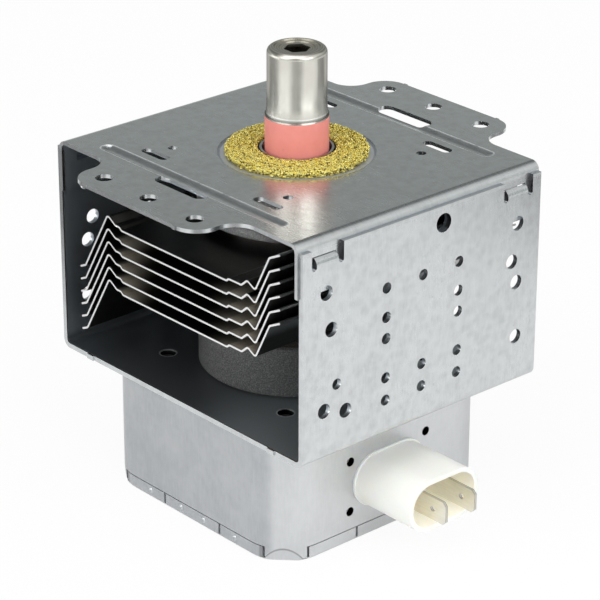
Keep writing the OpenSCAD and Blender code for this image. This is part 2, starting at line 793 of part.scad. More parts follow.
module filter_box() {
    skirt = box_half - [1, 1] * (rim_inset + box_t);
    skirt_r = box_r - rim_inset - box_t;
    inner = skirt - [box_t, box_t];
    wall_h = -yoke_h - joggle_z;
    skirt_h = joggle_z - box_foot_z;
    color("lightgray") difference() {
        union() {
            translate([0, 0, joggle_z]) difference() {
                drawn_block(box_half, wall_h, box_r, box_edge_r);
                translate([0, 0, box_t]) drawn_block(box_half - [box_t, box_t], wall_h - 2 * box_t,
                    box_r - box_t, box_edge_r - box_t);
            }
            translate([0, 0, box_foot_z + box_t]) linear_extrude(skirt_h) round_rect(skirt, skirt_r);
            translate([0, 0, box_foot_z + box_t]) linear_extrude(skirt_h) intersection() {
                round_rect(box_half, box_r);
                foot_corners(rim_slit_w / 2);
            }
        }
        corner_crimps();
        translate([0, 0, box_foot_z]) linear_extrude(skirt_h + box_t) round_rect(inner, skirt_r - box_t);
        translate([0, 0, -yoke_h - box_t - cut]) linear_extrude(box_t + 2 * cut) floor_piercings();
        obround_bar(wall_x - box_t - cut, wall_x + cut, plug_pass);
        plug_holes(wall_x - box_t - cut, wall_x + cut);
    }
}

module filter_box_cover() {
    half = box_half - [rim_inset, rim_inset];
    r = box_r - rim_inset;
    color("lightgray") translate([0, 0, box_foot_z]) {
        difference() {
            translate([0, 0, rim_h]) mirror([0, 0, 1]) drawn_block(half, rim_h, r, rim_edge_r);
            translate([0, 0, -box_foot_z]) corner_crimps();
            translate([0, 0, box_t]) linear_extrude(rim_h) foot_corners(-rim_slit_w / 2);
            translate([0, 0, box_t]) linear_extrude(rim_h) round_rect(half - [box_t, box_t], r - box_t);
            for (s = [-1, 1]) {
                for (x = rim_slits_front) translate([s * x, 0, box_t + rim_h])
                    cube([rim_slit_w, 2 * box_d, 2 * rim_h], center = true);
                for (y = rim_slits_side) translate([0, s * y, box_t + rim_h])
                    cube([2 * box_w, rim_slit_w, 2 * rim_h], center = true);
            }
        }
        for (sx = [-1, 1], sy = [-1, 1], x = dimple_at) intersection() {
            translate([sx * x, sy * (half[1] + dimple_proud - dimple_r), dimple_z]) sphere(dimple_r);
            translate([sx * x, sy * (half[1] + dimple_r - box_t / 2), dimple_z])
                cube(2 * dimple_r, center = true);
        }
    }
}

// Feed-through capacitor, connector and chokes

module plug_rods(x_low, x_high, r) {
    for (s = [-1, 1]) translate([x_low, s * tab_gap / 2, plug_z]) rotate([0, 90, 0])
        cylinder(h = x_high - x_low, r = r);
}

module capacitor_plate() {
    color("silver") difference() {
        translate([plug_plate_x + plug_plate_t / 2, 0, plug_z])
            cube([plug_plate_t, plug_plate[0], plug_plate[1]], center = true);
        plug_rods(plug_plate_x - cut, wall_x, plate_hole_r);
        plug_holes(plug_plate_x - cut, wall_x);
    }
}

module capacitor_body() {
    color("sienna") difference() {
        obround_bar(case_x + case_wall, plug_plate_x, case_size - 2 * [case_wall, case_wall]);
        plug_rods(case_x, wall_x, body_hole_r);
    }
}

module capacitor_case() {
    color("ivory") difference() {
        obround_bar(case_x, plug_plate_x, case_size);
        obround_bar(case_x + case_wall, plug_plate_x + cut, case_size - 2 * [case_wall, case_wall]);
        plug_rods(case_x - cut, wall_x, rod_r);
    }
}

module terminal_shroud() {
    size = [shroud_w, shroud_h];
    floor_x = wall_x + shroud_floor;
    color("ivory") difference() {
        union() {
            obround_bar(wall_x - box_t, floor_x, plug_pass);
            obround_bar(wall_x, wall_x + plug_rim_t, size + 2 * [plug_rim, plug_rim]);
            obround_bar(wall_x, wall_x + shroud_len, size);
        }
        obround_bar(floor_x, wall_x + shroud_len + cut, size - 2 * [shroud_wall, shroud_wall]);
        plug_rods(wall_x - box_t - cut, tab_root_x + cut, rod_r);
        for (s = [-1, 1]) translate([tab_root_x, s * tab_gap / 2 - tab_t / 2, plug_z - tab_w / 2])
            cube([shroud_len, tab_t, tab_w]);
    }
}

module spade_terminal(side) {
    half = tab_w / 2;
    color("lightsteelblue") translate([0, side * tab_gap / 2, plug_z]) {
        difference() {
            rotate([90, 0, 0]) linear_extrude(tab_t, center = true)
                polygon([[tab_root_x, -half], [tab_tip_x - tab_nose, -half], [tab_tip_x, tab_nose - half],
                         [tab_tip_x, half - tab_nose], [tab_tip_x - tab_nose, half], [tab_root_x, half]]);
            translate([tab_tip_x - tab_hole_back, 0, 0]) rotate([90, 0, 0])
                cylinder(h = 2 * tab_w, d = tab_hole_d, center = true);
        }
        translate([rod_end_x, 0, 0]) rotate([0, 90, 0]) cylinder(h = tab_root_x + cut - rod_end_x, r = rod_r);
    }
}

module spade_terminal_1() spade_terminal(-1);

module spade_terminal_2() spade_terminal(1);

// Choke wound on its core, with a tail to the connector's rod and a tail to the stem's plate
module choke_coil(side) {
    last = choke_turns * choke_steps;
    lay_z = stem_foot_z - stem_plate_t / 2;
    inner_y = choke_y - choke_r;
    helix = [for (i = [0:last]) let (a = 180 + 360 * i / choke_steps)
             [choke_ends[0] + (choke_ends[1] - choke_ends[0]) * i / last,
              choke_y + choke_r * cos(a), plug_z + choke_r * sin(a)]];
    rod_tail = [[rod_end_x + 1, tab_gap / 2 + rod_r, plug_z], [rod_end_x + 1, tab_gap / 2 + 3, plug_z],
                [rod_end_x - 2, inner_y - 3, plug_z + 1], [choke_ends[0] + 3, inner_y - 1, plug_z + 2]];
    stem_tail = [[choke_ends[1] - 1.5, inner_y - 1, plug_z - 2], [choke_ends[1] + 1, inner_y - 3, lay_z],
                 [-3, stem_tab[1] + 3, lay_z], [-1, stem_tab[1] + 2.5, lay_z], [0, stem_tab[1] + 1.5, lay_z],
                 [0, stem_tab[1], lay_z]];
    path = concat(rod_tail, helix, stem_tail);
    color("peru") mirror([0, side > 0 ? 0 : 1, 0]) wire(path, choke_wire_r, [0, 0, 1]);
}

module choke_coil_1() choke_coil(-1);

module choke_coil_2() choke_coil(1);

module ferrite_core(side) {
    length = choke_ends[0] - choke_ends[1] + 2 * core_overhang;
    color("dimgray") translate([choke_ends[1] - core_overhang, side * choke_y, plug_z])
        rotate([0, 90, 0]) cylinder(h = length, r = core_r);
}

module ferrite_core_1() ferrite_core(-1);

module ferrite_core_2() ferrite_core(1);

upper_yoke();
lower_yoke();
for (i = [1:fin_count]) cooling_fin(i);
anode_cylinder();
for (i = [1:vane_count]) anode_vane(i);
upper_inner_strap();
upper_outer_strap();
lower_inner_strap();
lower_outer_strap();
upper_pole_piece();
lower_pole_piece();
upper_magnet();
lower_magnet();
upper_shell();
lower_shell();
antenna_ceramic();
antenna_cap();
exhaust_tube();
antenna_lead();
gasket();
filament();
upper_end_hat();
lower_end_hat();
centre_lead();
side_lead();
stem_ceramic();
stem_terminal_1();
stem_terminal_2();
filter_box();
filter_box_cover();
capacitor_plate();
capacitor_body();
capacitor_case();
terminal_shroud();
spade_terminal_1();
spade_terminal_2();
choke_coil_1();
choke_coil_2();
ferrite_core_1();
ferrite_core_2();
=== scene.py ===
"""Looks of the oven magnetron: sheet steel yoke, fins, magnets, antenna, mesh gasket, filter box and plug."""

import json
import math
import random

import bpy
from mathutils import Matrix, Vector


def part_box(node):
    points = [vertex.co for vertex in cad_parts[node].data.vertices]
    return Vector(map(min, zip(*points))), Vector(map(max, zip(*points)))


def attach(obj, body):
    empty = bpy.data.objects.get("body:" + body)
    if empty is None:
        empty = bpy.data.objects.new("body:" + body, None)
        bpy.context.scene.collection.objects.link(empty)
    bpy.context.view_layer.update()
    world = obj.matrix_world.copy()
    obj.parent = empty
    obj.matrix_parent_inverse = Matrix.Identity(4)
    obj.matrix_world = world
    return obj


MM = 0.001

# Camera of the photograph, fitted to the yoke's corners and holes
VIEW_AZIMUTH = math.radians(48.349)
VIEW_ELEVATION = math.radians(24.356)
VIEW_ROLL = math.radians(0.152)
VIEW_OFFSET = Vector((0.792, -37.840, 719.717)) * MM
LENS_MM = 170.69
SENSOR_MM = 36.0

# Studio floor: a patch is its distance before the part and to its right, then its inner and outer radius
FLOOR_SIZE = 12.0
FLOOR_GAP = 0.05 * MM
FLOOR_WHITE = 0.93
MIRROR_WHITE = 0.32
GREY_PATCHES = ((0.31, 0.0, 0.08, 0.18), (-0.08, 0.35, 0.10, 0.18), (-0.06, -0.34, 0.11, 0.22))

# Studio lamps: name, place, target, size, power and spread
PART_MIDDLE = (0.0, 0.0, 0.0)
UPPER_MAGNET_FRONT = (0.0, -0.025, -0.0085)
OPEN_SPREAD = math.pi
SLOT_SPREAD = math.radians(3.0)
LAMPS = (
    ("panel_top", (0.25, -0.45, 1.5), PART_MIDDLE, (1.8, 1.8), 19.0, OPEN_SPREAD),
    ("panel_front", (-0.05, -1.52, 0.8), PART_MIDDLE, (1.4, 1.0), 9.0, OPEN_SPREAD),
    ("panel_low", (-1.1, -1.15, 0.2), PART_MIDDLE, (1.0, 0.5), 3.0, OPEN_SPREAD),
    ("panel_right", (1.53, 0.02, 0.8), PART_MIDDLE, (1.4, 1.0), 13.5, OPEN_SPREAD),
    ("panel_back", (0.66, 0.97, 1.09), PART_MIDDLE, (1.2, 1.2), 2.5, OPEN_SPREAD),
    ("panel_slot", (-0.06, -0.30, -0.012), UPPER_MAGNET_FRONT, (0.05, 0.006), 0.0026, SLOT_SPREAD),
)

# Places on the part that the finishes follow
BEAD_END_X = 33.0 * MM
BEAD_ROW_Y = 34.6 * MM
FLOOR_HOLE_X = 23.3 * MM
FLOOR_HOLE_Y = 24.2 * MM
PLUG_Z = -77.5 * MM
PLUG_HOLE_Y = 13.1 * MM
PLUG_HOLE_RISE = 7.1 * MM
PLUG_MOUTH_Y = 4.8 * MM
FOOT_CORNER_X = 23.7 * MM
FOOT_CORNER_Y = 24.4 * MM
TAB_Y = 5.0 * MM
CAP_RING_PITCH = 0.62 * MM

# Knitted gasket
GASKET_BORE = 10.2 * MM
GASKET_EASE = 0.12 * MM
WRAP_COUNT = 5
WRAP_CROWN = 0.55
SECTOR_COUNT = 12
LOOP_AREA = 0.30 * MM * MM
LOOP_LENGTH = 0.40 * MM
LOOP_WIDTH = 0.25 * MM
LOOP_WIRE = 0.085 * MM
LOOP_SIDES = 8
WIRE_SIDES = 3
CROWN_LEAN = 75
LOOP_TILT = 42
RIM_LOOPS = 36
RIM_FOOT = 0.5 * MM
RIM_HEAD = 0.4 * MM
SNARL = 0.25 * MM
SNARL_LIFT = 0.6
SNARL_SIZE = 0.7 * MM
CHANCE_SEED = 5


class Value:
    """One shader socket that takes part in plain Python arithmetic."""

    def __init__(self, finish, socket):
        self.finish = finish
        self.socket = socket

    def __add__(self, other):
        return self.finish.math("ADD", self, other)

    def __sub__(self, other):
        return self.finish.math("SUBTRACT", self, other)

    def __rsub__(self, other):
        return self.finish.math("SUBTRACT", other, self)

    def __mul__(self, other):
        return self.finish.math("MULTIPLY", self, other)

    def __abs__(self):
        return self.finish.math("ABSOLUTE", self)

    __radd__ = __add__
    __rmul__ = __mul__


class Finish:
    """A material being made: its node tree and the node recipes that the finishes share."""

    def __init__(self, name, library="materials", end="ShaderNodeOutputMaterial"):
        self.material = getattr(bpy.data, library).new(name)
        self.material.use_nodes = True
        self.tree = self.material.node_tree
        self.tree.nodes.clear()
        self.end = end
        self.place = self.node("ShaderNodeTexCoord", out="Object")

    def node(self, kind, settings=None, sockets=None, out=0):
        """Adds a node, sets it up, feeds its sockets, and gives back one of its outputs."""
        made = self.tree.nodes.new(kind)
        for key, value in (settings or {}).items():
            setattr(made, key, value)
        for key, value in (sockets or {}).items():
            socket = next(s for s in made.inputs if key in (s.identifier, s.name))
            if isinstance(value, Value):
                self.tree.links.new(value.socket, socket)
            else:
                socket.default_value = value
        if isinstance(out, str):
            return Value(self, next(s for s in made.outputs if out in (s.identifier, s.name)))
        return Value(self, made.outputs[out])

    def math(self, operation, a, b=0.0):
        return self.node("ShaderNodeMath", {"operation": operation}, {"Value": a, "Value_001": b})

    def axis(self, vector, letter):
        return self.node("ShaderNodeSeparateXYZ", sockets={"Vector": vector}, out=letter)

    def vector(self, x, y, z):
        return self.node("ShaderNodeCombineXYZ", sockets={"X": x, "Y": y, "Z": z})

    def facing(self, letter):
        """How far the surface faces along an axis of the part, from -1 to 1."""
        return self.axis(self.node("ShaderNodeTexCoord", out="Normal"), letter)

    def stretched(self, x, y, z):
        """Object coordinates scaled along each axis, for a grain with a direction."""
        return self.node("ShaderNodeMapping", sockets={"Vector": self.place, "Scale": (x, y, z)})

    def noise(self, scale, detail=2.0, rough=0.5, at=None):
        sockets = {"Vector": at or self.place, "Scale": scale, "Detail": detail, "Roughness": rough}
        return self.node("ShaderNodeTexNoise", sockets=sockets)

    def cells(self, scale):
        """Distance to the middle of the nearest of many scattered cells."""
        sockets = {"Vector": self.place, "Scale": scale}
        return self.node("ShaderNodeTexVoronoi", sockets=sockets, out="Distance")

    def reach(self, a, b):
        """Distance in a plane from two sides at a right angle."""
        return self.math("SQRT", a * a + b * b)

    def between(self, value, low, high):
        """0 below low, 1 above high and smooth between them."""
        sockets = {"Value": value, "From Min": low, "From Max": high}
        return self.node("ShaderNodeMapRange", {"interpolation_type": "SMOOTHSTEP"}, sockets)

    def below(self, value, low, high):
        """1 below low, 0 above high and smooth between them."""
        return 1.0 - self.between(value, low, high)

    def blend(self, share, a, b):
        sockets = {"Factor": share, "A_Color": rgba(a), "B_Color": rgba(b)}
        return self.node("ShaderNodeMix", {"data_type": "RGBA"}, sockets, out="Result_Color")

    def bump(self, height, depth, strength):
        sockets = {"Height": height, "Distance": depth, "Strength": strength}
        return self.node("ShaderNodeBump", sockets=sockets)

    def surface(self, **sockets):
        """Ends the material with a Principled shader fed by the named sockets."""
        named = {key.replace("_", " "): value for key, value in sockets.items()}
        shader = self.node("ShaderNodeBsdfPrincipled", sockets=named)
        self.node_end(shader)
        return self.material

    def node_end(self, shader):
        end = self.tree.nodes.new(self.end)
        self.tree.links.new(shader.socket, end.inputs["Surface"])


def rgba(value):
    """A plain colour gets its alpha; a linked colour is left as it is."""
    return (*value, 1.0) if isinstance(value, tuple) and len(value) == 3 else value


# Finishes


def yoke_sheet(name):
    """Zinc-coated sheet of the yoke: rolled grain, soft blotches, scuffed folds and a dull inside, with
    painted highlights and painted shade in places.
    """
    f = Finish(name)
    x, y, z = (f.axis(f.place, letter) for letter in "XYZ")
    wide, deep = abs(x), abs(y)
    radius = f.reach(x, y)
    grain = f.noise(1.0, 3.0, 0.6, at=f.vector((x + z) * 260.0, y * 2400.0, 0.0))
    blotch = f.noise(70.0, 3.0, 0.55)
    mottle = f.noise(380.0, 4.0, 0.6)
    spangle = f.cells(420.0)
    scratch = f.between(f.noise(1.0, 4.0, 0.7, at=f.stretched(1500.0, 190.0, 600.0)), 0.70, 0.76)
    share = f.between(0.3 * grain + 0.22 * blotch + 0.33 * mottle + 0.15 * spangle, 0.30, 0.62)
    color = f.blend(share, (0.565, 0.575, 0.585), (0.685, 0.705, 0.715))
    color = f.blend(scratch * 0.3, color, (0.86, 0.88, 0.88))

    # The scuffed folds beside the top plate
    fold = f.between(wide, 43.9 * MM, 44.6 * MM) * f.between(z, -3.2 * MM, -2.4 * MM)
    scuff = fold * f.between(mottle, 0.42, 0.66)
    color = f.blend(scuff * 0.5, color, (0.66, 0.67, 0.66))

    # The beads' edges: patchy wear, and a painted highlight along them
    along = f.math("MAXIMUM", wide - BEAD_END_X, 0.0)
    from_bead = f.reach(along, deep - BEAD_ROW_Y)
    worn_and_highlit = f.between(from_bead, 1.75 * MM, 1.95 * MM) * f.below(from_bead, 2.1 * MM, 2.3 * MM)
    worn_and_highlit = worn_and_highlit * f.between(z, -0.5 * MM, -0.2 * MM) * f.between(mottle, 0.25, 0.5)
    bead = f.below(from_bead, 2.0 * MM, 2.4 * MM) * f.between(z, -1.03 * MM, -0.9 * MM)
    color = f.blend(worn_and_highlit * 0.5, color, (0.88, 0.90, 0.90))

    # The floor holes' rims, given a painted highlight, and their walls, given painted shade
    from_hole = f.reach(wide - FLOOR_HOLE_X, deep - FLOOR_HOLE_Y)
    rim = f.below(from_hole, 2.3 * MM, 2.6 * MM) * f.below(z, -57.3 * MM, -57.1 * MM)
    painted_hole_wall_shade = f.below(from_hole, 2.3 * MM, 2.4 * MM) * f.below(z, -57.75 * MM, -57.6 * MM)

    # The gasket's seat, wiped cleaner, with painted shade in its corner along the step
    seat = f.below(radius, 20.0 * MM, 20.2 * MM) * f.between(z, -0.7 * MM, -0.6 * MM)
    corner = seat * f.between(radius, 19.4 * MM, 19.7 * MM)
    color = f.blend(seat * 0.6, color, (0.56, 0.59, 0.64))
    color = f.blend(corner * 0.7, color, (0.28, 0.30, 0.36))

    # The inside, away from the light, keeps its dull zinc, with painted shade: a darker zinc on the inner
    # walls and floor, darkest at the left of the floor
    within = f.below(wide, 46.2 * MM, 47.1 * MM) * f.below(deep, 39.3 * MM, 39.9 * MM)
    inward = f.below(f.facing("X") * f.math("SIGN", x), 0.3, 0.6)
    dull = within * inward * f.between(z, -58.6 * MM, -58.3 * MM) * f.below(z, -1.03 * MM, -0.9 * MM)
    painted_inside_shade = f.blend(f.between(x, 0.0, 28.0 * MM), (0.15, 0.165, 0.18), (0.40, 0.44, 0.47))
    painted_inside_shade = f.blend(f.between(z, -57.0 * MM, -54.0 * MM), painted_inside_shade, (0.37, 0.41, 0.45))
    color = f.blend(dull, color, painted_inside_shade)
    # Painted highlight on the floor holes' rims and painted shade on their walls
    color = f.blend(rim * 0.8, color, (0.80, 0.83, 0.85))
    color = f.blend(painted_hole_wall_shade, color, (0.03, 0.03, 0.032))

    # Painted shade in the gaps beside the clinched tabs
    painted_gap_shade = f.between(wide, 45.6 * MM, 46.0 * MM) * f.between(abs(f.facing("Y")), 0.5, 0.8)
    painted_gap_shade = painted_gap_shade * f.between(z, -13.0 * MM, -12.0 * MM) * f.below(deep, 38.8 * MM, 39.4 * MM)
    color = f.blend(painted_gap_shade, color, (0.11, 0.11, 0.115))

    rough = 0.20 + 0.07 * grain + 0.05 * blotch + 0.08 * fold + 0.25 * seat + 0.03 * bead + 0.18 * dull
    metal = 1.0 - 0.35 * worn_and_highlit - 0.10 * dull - 0.2 * seat
    normal = f.bump(grain + 0.4 * spangle + 0.5 * mottle + scratch, 0.02 * MM, 0.35)
    return f.surface(Base_Color=color, Roughness=rough, Metallic=metal, Normal=normal)


def box_sheet(name):
    """Brighter drawn sheet of the filter box, with the grain up its walls."""
    f = Finish(name)
    x, y, z = (f.axis(f.place, letter) for letter in "XYZ")
    grain = f.noise(1.0, 3.0, 0.6, at=f.stretched(1900.0, 1900.0, 240.0))
    blotch = f.noise(70.0, 3.0, 0.55)
    mottle = f.noise(420.0, 4.0, 0.6)
    scratch = f.between(f.noise(260.0, 5.0, 0.75), 0.66, 0.72)
    share = f.between(0.3 * grain + 0.45 * blotch + 0.25 * mottle, 0.30, 0.66)
    color = f.blend(share, (0.62, 0.63, 0.645), (0.69, 0.70, 0.715))
    color = f.blend(scratch * 0.3, color, (0.86, 0.87, 0.88))

    # Painted shade makes the front and back faces a little darker
    painted_front_shade = f.between(abs(f.facing("Y")), 0.8, 0.95)
    color = f.blend(painted_front_shade, color, f.blend(share, (0.44, 0.455, 0.475), (0.54, 0.55, 0.565)))

    # The yoke's floor holes go on through the box's top, painted black there as shade
    from_hole = f.reach(abs(x) - FLOOR_HOLE_X, abs(y) - FLOOR_HOLE_Y)
    painted_hole_shade = f.below(from_hole, 2.2 * MM, 2.5 * MM) * f.between(z, -58.9 * MM, -58.8 * MM)
    color = f.blend(painted_hole_shade, color, (0.008, 0.008, 0.009))

    # The walls of the holes round the plug are painted black as shade
    from_bore = f.reach(abs(y) - PLUG_HOLE_Y, abs(z - PLUG_Z) - PLUG_HOLE_RISE)
    painted_bore_shade = f.below(from_bore, 1.30 * MM, 1.40 * MM)
    painted_bore_shade = painted_bore_shade * f.between(x, 33.0 * MM, 33.2 * MM) * f.below(x, 35.2 * MM, 35.3 * MM)
    color = f.blend(painted_bore_shade, color, (0.006, 0.006, 0.006))

    # A painted dark line of shade where each foot corner is crimped flat
    wide = f.math("MAXIMUM", abs(x) - FOOT_CORNER_X, 0.0)
    deep = f.math("MAXIMUM", abs(y) - FOOT_CORNER_Y, 0.0)
    round_corner = f.between(wide * deep, 26.0 * MM * MM, 32.0 * MM * MM)
    radius = f.reach(wide, deep)
    painted_crimp_line = f.between(radius, 11.36 * MM, 11.48 * MM) * f.below(radius, 11.58 * MM, 11.66 * MM)
    painted_crimp_line = painted_crimp_line * f.below(z, -88.6 * MM, -88.4 * MM) * round_corner
    color = f.blend(painted_crimp_line * 0.6, color, (0.16, 0.16, 0.165))
    rough = 0.30 + 0.05 * grain + 0.08 * blotch - 0.05 * scratch
    return f.surface(Base_Color=color, Roughness=rough, Metallic=1.0,
                     Normal=f.bump(grain + mottle, 0.02 * MM, 0.2))


def fin_sheet(name):
    """Rolled aluminium, with painted shade keeping it dark between the fins, a painted warm glow near the
    bends, and bright sheared edges at the open sides.
    """
    f = Finish(name)
    x, z = (f.axis(f.place, letter) for letter in "XZ")
    grain = f.noise(1.0, 3.0, 0.6, at=f.stretched(2600.0, 160.0, 2600.0))
    shear = f.between(abs(f.facing("Y")), 0.90, 0.97)
    # Painted warm glow: a paler, less metallic zone in the gaps beside the bends
    left = f.between(x, -25.0 * MM, -21.0 * MM) * f.below(x, -20.5 * MM, -11.0 * MM)
    right = f.between(x, 10.0 * MM, 24.0 * MM) * f.below(x, 28.5 * MM, 31.0 * MM)
    painted_warm_glow = (left + right) * f.below(z, -19.6 * MM, -19.0 * MM)
    # Painted shade: the faces are a far darker grey than bare aluminium
    color = f.blend(grain, (0.06, 0.058, 0.054), (0.11, 0.105, 0.095))
    color = f.blend(painted_warm_glow, color, (0.30, 0.27, 0.22))
    # Less painted shade, a lighter grey, at the fins' right ends beyond 33 mm
    color = f.blend(f.between(x, 33.0 * MM, 35.0 * MM), color, (0.50, 0.50, 0.49))
    color = f.blend(shear, color, (0.90, 0.90, 0.90))
    rough = 0.26 + 0.10 * grain + 0.16 * shear
    metal = 1.0 - 0.75 * painted_warm_glow * (1.0 - shear)
    return f.surface(Base_Color=color, Roughness=rough, Metallic=metal,
                     Normal=f.bump(grain, 0.015 * MM, 0.3))


def copper(name, tone, roughness):
    """Turned copper with stains, painted black as shade where it stands in the antenna."""
    f = Finish(name)
    stain = f.noise(160.0, 4.0, 0.6)
    lathe = f.noise(1.0, 2.0, 0.5, at=f.stretched(300.0, 300.0, 5200.0))
    color = f.blend(f.between(stain, 0.35, 0.7), tone, tuple(0.62 * c for c in tone))
    # Painted shade: black where the copper stands inside the antenna's cap
    painted_cap_shade = f.between(f.axis(f.place, "Z"), 8.0 * MM, 10.0 * MM)
    color = f.blend(painted_cap_shade, color, (0.02, 0.015, 0.012))
    return f.surface(Base_Color=color, Roughness=roughness + 0.12 * stain, Metallic=1.0,
                     Normal=f.bump(lathe, 0.02 * MM, 0.4))


def ferrite(name):
    """Sintered magnet: dark charcoal with a bright fine grit and small pores."""
    f = Finish(name)
    grit = f.noise(3200.0, 2.0, 0.7)
    pores = f.cells(1500.0)
    cloud = f.noise(120.0, 3.0, 0.6)
    color = f.blend(f.between(grit, 0.40, 0.72), (0.058, 0.058, 0.059), (0.175, 0.173, 0.170))
    color = f.blend(f.between(pores, 0.0, 0.22), (0.016, 0.016, 0.017), color)
    rough = 0.46 + 0.16 * cloud
    return f.surface(Base_Color=color, Roughness=rough, Metallic=0.0,
                     Normal=f.bump(grit + pores, 0.05 * MM, 0.3))


def plain_metal(name, tone, roughness):
    """Drawn or machined metal with faint rings round the tube's axis."""
    f = Finish(name)
    rings = f.noise(1.0, 2.0, 0.5, at=f.stretched(500.0, 500.0, 6500.0))
    haze = f.noise(210.0, 4.0, 0.6)
    color = f.blend(f.between(haze, 0.3, 0.75), tone, tuple(0.78 * c for c in tone))
    return f.surface(Base_Color=color, Roughness=roughness + 0.10 * haze, Metallic=1.0,
                     Normal=f.bump(rings, 0.015 * MM, 0.35))


def nickel_cap(name):
    """Satin nickel, drawn upward, with finger haze on the wall and turned rings on the top."""
    f = Finish(name)
    x, y, z = (f.axis(f.place, letter) for letter in "XYZ")
    draw = f.noise(1.0, 3.0, 0.6, at=f.stretched(2600.0, 2600.0, 120.0))
    haze = f.noise(150.0, 4.0, 0.6)
    radius = f.reach(x, y)
    top = f.between(abs(f.facing("Z")), 0.8, 0.95)
    crown = f.between(f.facing("Z"), 0.15, 0.45)
    rings = (0.5 + 0.5 * f.math("SINE", radius * (2 * math.pi / CAP_RING_PITCH))) * crown
    share = f.between(0.3 * draw + 0.7 * haze, 0.32, 0.68)
    color = f.blend(share, (0.66, 0.64, 0.58), (0.76, 0.74, 0.675))
    color = f.blend(0.05 * crown + 0.42 * rings, color, (0.24, 0.23, 0.20))
    shoulder = f.between(f.facing("Z"), 0.08, 0.3) * (1.0 - top)

    # Painted shade in a band for a turned groove, and a painted highlight in a band for a bright ridge, round
    # the foot
    painted_groove_shade = f.between(z, 10.10 * MM, 10.25 * MM) * f.below(z, 10.65 * MM, 10.80 * MM)
    painted_ridge_highlight = f.between(z, 10.75 * MM, 10.85 * MM) * f.below(z, 11.05 * MM, 11.2 * MM)
    color = f.blend(0.5 * painted_groove_shade, color, (0.20, 0.195, 0.18))
    color = f.blend(0.7 * painted_ridge_highlight, color, (0.97, 0.96, 0.93))
    rough = 0.19 + 0.08 * haze + 0.04 * draw + 0.18 * top + 0.06 * shoulder
    return f.surface(Base_Color=color, Roughness=rough, Metallic=1.0, Specular_Tint=(0.4, 0.4, 0.4, 1.0),
                     Normal=f.bump(0.4 * draw + 0.8 * rings, 0.02 * MM, 0.3))


def pink_ceramic(name):
    """Pressed pink ceramic, matte, with faint specks and a rubbed metal smudge."""
    f = Finish(name)
    mottle = f.noise(300.0, 4.0, 0.6)
    specks = f.between(f.cells(900.0), 0.0, 0.10)
    smudge = f.between(f.noise(130.0, 3.0, 0.6), 0.63, 0.74)
    color = f.blend(mottle, (0.80, 0.25, 0.22), (0.88, 0.315, 0.28))
    color = f.blend(specks, (0.70, 0.22, 0.18), color)
    color = f.blend(smudge * 0.35, color, (0.36, 0.17, 0.14))
    return f.surface(Base_Color=color, Roughness=0.52 + 0.10 * mottle, Metallic=0.0,
                     Normal=f.bump(mottle, 0.03 * MM, 0.4))


def brass_wire(name):
    """Bright brass wire with patches of tarnish."""
    f = Finish(name)
    tarnish = f.noise(700.0, 3.0, 0.6)
    color = f.blend(f.between(tarnish, 0.36, 0.62), (0.94, 0.76, 0.14), (1.0, 0.92, 0.33))
    return f.surface(Base_Color=color, Roughness=0.16 + 0.12 * tarnish, Metallic=0.65)


def brass_bed(name):
    """Wire mesh too deep to tell its loops apart: bright brass specks with painted shade in the gaps between
    them.
    """
    f = Finish(name)
    specks = f.cells(2300.0)
    # Painted shade in the gaps between the specks
    painted_mesh_shade = f.between(specks, 0.30, 0.62)
    color = f.blend(painted_mesh_shade, (0.94, 0.80, 0.22), (0.09, 0.06, 0.012))
    return f.surface(Base_Color=color, Roughness=0.24 + 0.3 * painted_mesh_shade, Metallic=0.6,
                     Normal=f.bump(1.0 - specks, 0.18 * MM, 0.9))


def tinned_metal(name):
    """Tinned brass of the push-on tabs, rolled lengthways, with dark cut edges."""
    f = Finish(name)
    roll = f.noise(1.0, 3.0, 0.6, at=f.stretched(180.0, 2400.0, 2400.0))
    dull = f.noise(240.0, 4.0, 0.6)
    color = f.blend(f.between(0.6 * roll + 0.4 * dull, 0.3, 0.7), (0.75, 0.73, 0.655), (0.86, 0.84, 0.77))
    edge = f.below(abs(f.facing("Y")), 0.4, 0.7)
    corner = f.between(abs(abs(f.axis(f.place, "Y")) - TAB_Y), 0.18 * MM, 0.30 * MM)
    color = f.blend(edge * (0.35 + 0.5 * corner), color, (0.30, 0.28, 0.24))
    return f.surface(Base_Color=color, Roughness=0.30 + 0.14 * dull, Metallic=1.0,
                     Normal=f.bump(roll, 0.015 * MM, 0.4))


def moulded_plastic(name):
    """Cream moulded plastic, faintly cloudy, with a fine moulded texture."""
    f = Finish(name)
    x, y, z = (f.axis(f.place, letter) for letter in "XYZ")
    cloud = f.noise(90.0, 3.0, 0.5)
    texture = f.noise(2600.0, 2.0, 0.5)
    color = f.blend(cloud, (0.94, 0.925, 0.85), (0.98, 0.97, 0.92))

    # A painted glow, by emission, inside the mouth, standing in for light that soaks through the walls
    above = z - PLUG_Z
    aside = f.math("MAXIMUM", abs(y) - PLUG_MOUTH_Y, 0.0)
    inside = f.below(f.reach(aside, above), 5.95 * MM, 6.3 * MM)
    outer = f.between(x, 45.0 * MM, 53.0 * MM)
    lower = f.below(above, -1.5 * MM, 3.5 * MM)
    painted_mouth_glow = inside * (0.35 - 0.21 * outer * (1.0 - lower) + 0.65 * outer * lower)
    glow = f.blend(painted_mouth_glow, (0.0, 0.0, 0.0), (0.23, 0.205, 0.145))
    return f.surface(Base_Color=color, Roughness=0.40 + 0.10 * texture, Metallic=0.0, Subsurface_Weight=0.5,
                     Subsurface_Radius=(0.006, 0.0045, 0.003), Subsurface_Scale=0.35,
                     Emission_Color=glow, Emission_Strength=1.0, Normal=f.bump(texture, 0.02 * MM, 0.25))


